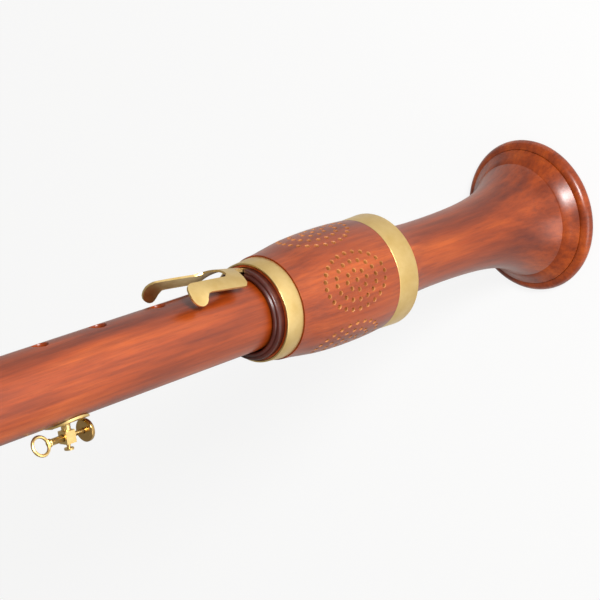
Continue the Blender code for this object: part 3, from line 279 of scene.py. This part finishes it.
def curve_through(points, steps):
    """A smooth line through the given points."""
    line = []
    last = len(points) - 1
    for index in range(last):
        before = Vector(points[max(index - 1, 0)])
        here = Vector(points[index])
        there = Vector(points[index + 1])
        after = Vector(points[min(index + 2, last)])
        for step in range(steps):
            t = step / steps
            spot = (2 * here + (there - before) * t
                    + (2 * before - 5 * here + 4 * there - after) * t ** 2
                    + (3 * here - before - 3 * there + after) * t ** 3) / 2
            line.append(tuple(spot))
    line.append(tuple(points[last]))
    return line


def add_turned(bm, outline, sides, matrix=None):
    """Add a closed (radius, height) outline turned round Z to a bmesh."""
    rings = []
    for radius, height in outline:
        if radius < 1e-7:
            rings.append([bm.verts.new((0.0, 0.0, height))])
            continue
        rings.append([bm.verts.new((radius * math.cos(2 * math.pi * side / sides),
                                    radius * math.sin(2 * math.pi * side / sides), height))
                      for side in range(sides)])
    for index, ring in enumerate(rings):
        other = rings[(index + 1) % len(rings)]
        if len(ring) == 1 and len(other) == 1:
            continue
        for side in range(sides):
            after = (side + 1) % sides
            corners = [ring[side % len(ring)], ring[after % len(ring)],
                       other[after % len(other)], other[side % len(other)]]
            bm.faces.new(list(dict.fromkeys(corners)))
    if matrix:
        fresh = [vert for ring in rings for vert in ring]
        bmesh.ops.transform(bm, matrix=matrix, verts=fresh)


def add_box(bm, low, high):
    """Add a box between two corners to a bmesh."""
    size = Vector(high) - Vector(low)
    centre = (Vector(high) + Vector(low)) / 2
    matrix = Matrix.Translation(centre) @ Matrix.Diagonal((*size, 1))
    bmesh.ops.create_cube(bm, size=1, matrix=matrix)


def facing(azimuth, height):
    """A frame whose Z axis points out from the bore's axis at one height."""
    return (Matrix.Translation((0.0, 0.0, height))
            @ Matrix.Rotation(azimuth, 4, "Z") @ Matrix.Rotation(math.pi / 2, 4, "Y"))


def to_object(bm, name):
    """A smooth object at the bore's axis from a bmesh."""
    bmesh.ops.recalc_face_normals(bm, faces=bm.faces)
    bmesh.ops.translate(bm, vec=(0, AXIS_Y, 0), verts=bm.verts)
    mesh = bpy.data.meshes.new(name)
    bm.to_mesh(mesh)
    bm.free()
    made = bpy.data.objects.new(name, mesh)
    bpy.context.scene.collection.objects.link(made)
    return made


def cut(target, bm):
    """Cut a bmesh away from a piece, and keep the result in its mesh."""
    tool = to_object(bm, "cutter")
    step = target.modifiers.new("cut", "BOOLEAN")
    step.solver = "EXACT"
    step.object = tool
    bpy.context.view_layer.update()
    seen = target.evaluated_get(bpy.context.evaluated_depsgraph_get())
    fresh = bpy.data.meshes.new_from_object(seen)
    target.modifiers.clear()
    target.data = fresh
    bpy.data.objects.remove(tool)


def stand_for(piece, node, finish):
    """Finish a piece that stands for a node of the solid model."""
    mesh = piece.data
    mesh.materials.clear()
    mesh.materials.append(finish)
    mesh.shade_smooth()
    mesh.set_sharp_from_angle(angle=SHARP_EDGE)
    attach(piece, NODES[node]["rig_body"])
    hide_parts(node)


def tube_radius(height):
    """Outer radius of the body above its neck."""
    return TUBE_RADIUS + TUBE_TAPER * max(height - COVER_TOP, 0.0)


def neck_radius(height):
    """Outer radius between the bell's groove and the shoulder under the cover."""
    bell = (GROOVE_RADIUS - NECK_RADIUS) * math.exp(
        -(max(height - GROOVE_HEIGHT, 0.0) / FLARE_LENGTH) ** FLARE_POWER)
    shoulder = (SHOULDER_RADIUS - NECK_RADIUS) * math.exp(
        -(max(SHOULDER_HEIGHT - height, 0.0) / SHOULDER_FLARE) ** FLARE_POWER)
    return NECK_RADIUS + bell + shoulder


def body_outline():
    """Bell, neck, shoulder, tube, tenon and bore, with fine steps on the curves."""
    quirk = RIM_HEIGHT + RIM_BEAD
    slope_end = RIM_RADIUS - RIM_BEAD - 0.0003
    points = [(MOUTH_RADIUS, 0.0), (END_FACE_OUTER, 0.0)]
    points += [(RIM_RADIUS - 0.0014, RIM_HEIGHT * 0.14), (RIM_RADIUS - 0.0005, RIM_HEIGHT * 0.5)]
    points += arc((RIM_RADIUS - RIM_BEAD, RIM_HEIGHT), RIM_BEAD, 0, 90, 14)
    points += [(slope_end, quirk - 0.0006), (slope_end, quirk + 0.0006)]
    points += [(GROOVE_RADIUS + 0.0031, GROOVE_HEIGHT - 0.0036)]
    points += [(GROOVE_RADIUS + 0.0004, GROOVE_HEIGHT - 0.0005)]
    points += [(GROOVE_RADIUS - GROOVE_DEPTH, GROOVE_HEIGHT)]
    start = GROOVE_HEIGHT + 0.0004
    for step in range(60):
        share = step / 59
        height = start + (SHOULDER_HEIGHT - start) * (share if share > 0.7 else share ** 1.25)
        points.append((neck_radius(height), height))
    points.append((TUBE_RADIUS, SHOULDER_HEIGHT))
    for height in (COVER_TOP, (COVER_TOP + BODY_HEIGHT) / 2, BODY_HEIGHT - 0.0004):
        points.append((tube_radius(height), height))
    points += [(tube_radius(BODY_HEIGHT) - 0.0004, BODY_HEIGHT), (TENON_RADIUS - 0.001, BODY_HEIGHT)]
    points += [(TENON_RADIUS - 0.001, TENON_TOP), (BORE_RADIUS, TENON_TOP)]
    points += [(BORE_RADIUS, BELL_LENGTH)]
    for step in range(24):
        share = 0.86 * (1 - step / 23) ** 1.3 + 0.01
        grown = (MOUTH_RADIUS - BORE_RADIUS) * math.exp(-(share * 5.2) ** 0.85)
        points.append((BORE_RADIUS + grown, BELL_LENGTH * share))
    return points


def make_body(wood):
    """The stick, with dished finger holes, the tone hole and the key's bed."""
    bm = bmesh.new()
    add_turned(bm, body_outline(), SIDES)
    body = to_object(bm, "body_stick")
    holes = bmesh.new()
    rows = [(FRONT, height, radius) for height, radius in FRONT_HOLES]
    rows.append((BACK, *THUMB_HOLE))
    for azimuth, height, radius in rows:
        surface = tube_radius(height)
        outline = [(0.0, BORE_RADIUS / 2), (radius, BORE_RADIUS / 2)]
        outline += arc((radius + DISH_WIDTH, surface - DISH_DEPTH - 0.0002), DISH_WIDTH, 180, 100, 6)
        outline += [(radius + DISH_WIDTH, surface + 0.004), (0.0, surface + 0.004)]
        add_turned(holes, outline, SMALL_SIDES, facing(azimuth, height))
    tone = ((0.0, BORE_RADIUS / 2), (TONE_HOLE_RADIUS, BORE_RADIUS / 2),
            (TONE_HOLE_RADIUS, 2 * TUBE_RADIUS), (0.0, 2 * TUBE_RADIUS))
    add_turned(holes, tone, SMALL_SIDES, facing(FRONT, PAD_HEIGHT))
    cut(body, holes)
    bed = bmesh.new()
    add_box(bed, (-BED_WIDTH / 2, -2 * TUBE_RADIUS, BED_BOTTOM), (BED_WIDTH / 2, -BED_DEPTH, BED_TOP))
    cut(body, bed)
    stand_for(body, "body_joint", wood)


def cover_radius(depth):
    """Outer radius of the cover at a depth under its top."""
    for (low, first), (high, second) in zip(COVER_OUTLINE, COVER_OUTLINE[1:]):
        if depth <= high:
            return first + (second - first) * (depth - low) / (high - low)
    return COVER_OUTLINE[-1][1]


def rosette_holes(middle):
    """Azimuth and depth of each hole of one rosette: a middle hole and rings round it."""
    spots = [(middle, ROSETTE_DEPTH)]
    for ring in range(1, ROSETTE_RINGS + 1):
        count = HOLES_PER_RING * ring
        for index in range(count):
            turn = 2 * math.pi * index / count
            spots.append((middle + ring * HOLE_PITCH_ROUND * math.cos(turn),
                          ROSETTE_DEPTH - ring * HOLE_PITCH_UP * math.sin(turn)))
    return spots


def show_bare_walls(cover, bare):
    """Give the walls of the drilled holes the paler colour of wood that no stain reached."""
    cover.data.materials.append(bare)
    low = COVER_TOP - COVER_OUTLINE[-1][0] + 0.001
    high = COVER_TOP - COVER_OUTLINE[1][0]
    for face in cover.data.polygons:
        place = face.center - Vector((0, AXIS_Y, 0))
        out = Vector((place.x, place.y, 0))
        drilled = low < place.z < high and out.length > COVER_MOUTH
        if drilled and abs(face.normal.dot(out.normalized())) < 0.8 and face.area < HOLE_WALL_AREA:
            face.material_index = 1


def make_cover(wood, bare):
    """The pierced cover, each hole with a light chamfer."""
    outside = curve_through([(radius, COVER_TOP - depth) for depth, radius in COVER_OUTLINE[::-1]], 6)
    upper_low = COVER_TOP - UPPER_RING_WIDTH
    lower_high = COVER_BOTTOM + LOWER_RING_WIDTH
    seat = RING_WALL + GAP
    throat_low = COVER_TOP - 0.0200
    cavity_low = COVER_BOTTOM + 0.0150
    outline = [(COVER_FOOT, COVER_BOTTOM), (LOWER_RING_RADII[1] - seat, COVER_BOTTOM),
               (LOWER_RING_RADII[0] - seat, lower_high + GAP)]
    outline += outside
    outline += [(UPPER_RING_RADII[1] - seat, upper_low - GAP),
                (UPPER_RING_RADII[0] - seat, COVER_TOP), (COVER_MOUTH, COVER_TOP),
                (COVER_MOUTH, COVER_TOP - COLLAR_PLUG), (COVER_THROAT, COVER_TOP - COLLAR_PLUG),
                (COVER_THROAT, throat_low)]
    outline += [(radius - COVER_WALL, height) for radius, height in outside[::-1]
                if cavity_low < height < throat_low - 0.005]
    outline += [(outside[0][0] - COVER_WALL, cavity_low), (COVER_FOOT, COVER_BOTTOM + 0.0080)]
    bm = bmesh.new()
    add_turned(bm, outline, SIDES)
    cover = to_object(bm, "pierced_cover")
    for rosette in range(ROSETTES):
        drill = bmesh.new()
        middle = FRONT + ROSETTE_PHASE + 2 * math.pi * rosette / ROSETTES
        for azimuth, depth in rosette_holes(middle):
            surface = cover_radius(depth)
            wide = HOLE_RADIUS + HOLE_CHAMFER * 1.6
            hole = ((0.0, COVER_MOUTH), (HOLE_RADIUS, COVER_MOUTH),
                    (HOLE_RADIUS, surface - HOLE_CHAMFER), (wide, surface + HOLE_CHAMFER),
                    (wide, RIM_RADIUS), (0.0, RIM_RADIUS))
            add_turned(drill, hole, HOLE_SIDES, facing(azimuth, COVER_TOP - depth))
        cut(cover, drill)
    stand_for(cover, "key_cover", wood)
    show_bare_walls(cover, bare)


def band_outline(low, high, radii, wall):
    """A conical metal band with rounded edges."""
    top, bottom = radii
    edge = 0.0003
    return ([(top - wall, high), (bottom - wall, low)]
            + arc((bottom - edge, low + edge), edge, -90, 0, 4)
            + arc((top - edge, high - edge), edge, 0, 90, 4))


def make_rings(brass):
    """The brass rings of the cover, the head and the cap."""
    rings = (("cover_upper_ring", UPPER_RING_RADII), ("cover_lower_ring", LOWER_RING_RADII),
             ("head_ring", (HEAD_RING_RADIUS, HEAD_RING_RADIUS)),
             ("wind_cap_ring", (CAP_RING_RADIUS, CAP_RING_RADIUS)))
    for node, radii in rings:
        low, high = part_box(node)
        bm = bmesh.new()
        add_turned(bm, band_outline(low.z, high.z, radii, RING_WALL), SIDES)
        stand_for(to_object(bm, node + "_band"), node, brass)


def make_collar(shade_darkened_wood):
    """The moulded collar, with the slot that the key comes out of."""
    top = COVER_TOP + COLLAR_RISE
    low = COVER_TOP - COLLAR_PLUG + GAP
    plug = COVER_MOUTH - GAP
    quarter = 0.0014
    outline = [(COLLAR_BORE, low), (plug, low), (plug, COVER_TOP + 0.0005)]
    outline += [(COLLAR_RADIUS, COVER_TOP + 0.0009)]
    outline += arc((COLLAR_RADIUS - quarter, top - 0.0010 - quarter), quarter, 0, 90, 10)
    outline += [(COLLAR_RADIUS - 0.0020, top - 0.0013)]
    outline += arc((COLLAR_BORE + 0.0014, top - 0.0012), 0.0012, 20, 160, 14)
    bm = bmesh.new()
    add_turned(bm, outline, SIDES)
    collar = to_object(bm, "collar_moulding")
    slot = bmesh.new()
    add_box(slot, (-KEY_SLOT / 2, -2 * COLLAR_RADIUS, low - GAP), (KEY_SLOT / 2, -BED_DEPTH, top + GAP))
    cut(collar, slot)
    # The collar gets the darker copy of the stained wood, which paints in the shade that the moulding
    # sits in
    stand_for(collar, "cover_collar", shade_darkened_wood)


def softened(node, finish, edge):
    """A copy of a node with joined corners, smooth rounds and slightly broken edges."""
    piece = NODES[node].copy()
    piece.data = NODES[node].data.copy()
    piece.name = node + "_finished"
    for key in list(piece.keys()):
        del piece[key]
    piece.parent = None
    bpy.context.scene.collection.objects.link(piece)
    bm = bmesh.new()
    bm.from_mesh(piece.data)
    bmesh.ops.remove_doubles(bm, verts=bm.verts, dist=0.00001)
    bmesh.ops.dissolve_limit(bm, angle_limit=math.radians(2), verts=bm.verts, edges=bm.edges)
    bm.to_mesh(piece.data)
    bm.free()
    if edge:
        bevel = piece.modifiers.new("edges", "BEVEL")
        bevel.width = edge
        bevel.segments = 2
        bevel.limit_method = "ANGLE"
        bevel.angle_limit = math.radians(40)
    stand_for(piece, node, finish)


SLOTS = {part["node"]: part["material_slot"] for part in frame["record"]["subparts"]}


def make_all():
    """Every piece and its finish."""
    wood = wood_material("stained_wood", (0.135, 0.016, 0.002), (0.300, 0.044, 0.003),
                         (0.470, 0.088, 0.008), 0.32)
    # A darker copy of the stained wood for the collar: its darker tone is painted shade, because the
    # moulding faces away from the lamps
    dark = wood_material("stained_wood_painted_shade", (0.038, 0.006, 0.004), (0.075, 0.012, 0.007),
                         (0.120, 0.020, 0.010), 0.36)
    pale = wood_material("bare_cedar", (0.36, 0.18, 0.09), (0.50, 0.29, 0.16),
                         (0.62, 0.40, 0.24), 0.62)
    brass = brass_material("brushed_brass", (0.70, 0.48, 0.17), (0.80, 0.59, 0.26), 0.34, 0.18)
    polished = brass_material("polished_brass", (0.46, 0.28, 0.09), (0.60, 0.39, 0.15), 0.14, 0.04)
    finishes = {
        "stained_maple": wood, "dark_maple": dark, "cedar": pale,
        "brushed_brass": brass, "polished_brass": polished,
        "blued_steel": speckled_material("steel", (0.16, 0.16, 0.18), (0.32, 0.32, 0.35),
                                         700, 0.3, 1.0, 0.05),
        "cork": speckled_material("cork", (0.34, 0.19, 0.09), (0.62, 0.42, 0.24), 900, 0.85, 0.0, 0.5),
        "pad_leather": speckled_material("leather", (0.42, 0.30, 0.19), (0.62, 0.48, 0.33), 1400, 0.75),
        "dark_horn": speckled_material("horn", (0.012, 0.008, 0.006), (0.06, 0.035, 0.022),
                                       120, 0.22, 0.0, 0.03),
    }
    made_new = ("body_joint", "key_cover", "cover_collar", "cover_upper_ring", "cover_lower_ring",
                "head_ring", "wind_cap_ring")
    make_body(wood)
    bare = wood_material("bare_hole_walls", (0.36, 0.11, 0.025), (0.50, 0.18, 0.045),
                         (0.62, 0.26, 0.07), 0.6)
    make_cover(wood, bare)
    make_collar(dark)
    make_rings(brass)
    bevelled = ("touch_lever", "thumb_rest_bracket", "thumb_clamp_screw", "thumb_knob",
                "touch_saddle", "pad_saddle")
    for node in sorted(NODES):
        if node not in made_new:
            softened(node, finishes[SLOTS[node]], BROKEN_EDGE if node in bevelled else 0.0)


def make_floor():
    """A plain pale floor under the bell."""
    bm = bmesh.new()
    bmesh.ops.create_grid(bm, x_segments=1, y_segments=1, size=4)
    mesh = bpy.data.meshes.new("floor")
    bm.to_mesh(mesh)
    bm.free()
    floor = bpy.data.objects.new("floor", mesh)
    bpy.context.scene.collection.objects.link(floor)
    made, tree, shader = base_material("floor", 0.9)
    shader.inputs["Base Color"].default_value = (0.82, 0.82, 0.81, 1)
    white = tree.nodes.new("ShaderNodeEmission")
    seen = tree.nodes.new("ShaderNodeLightPath")
    share = tree.nodes.new("ShaderNodeMath")
    share.operation = "MULTIPLY"
    share.inputs[1].default_value = FLOOR_WHITENESS
    mix = tree.nodes.new("ShaderNodeMixShader")
    tree.links.new(seen.outputs["Is Camera Ray"], share.inputs[0])
    tree.links.new(share.outputs[0], mix.inputs[0])
    tree.links.new(shader.outputs[0], mix.inputs[1])
    tree.links.new(white.outputs[0], mix.inputs[2])
    tree.links.new(mix.outputs[0], tree.nodes["Material Output"].inputs["Surface"])
    mesh.materials.append(made)


set_camera()
set_world()
add_lamp("key_lamp", (0.30, 0.30, 1.15), 0.28, 19)
add_lamp("fill_lamp", (0.9, -0.5, 0.6), 0.9, 7)
add_lamp("rim_lamp", (0.2, 1.1, -0.2), 0.7, 9)
make_floor()
make_all()
bpy.context.scene.view_settings.view_transform = "Standard"
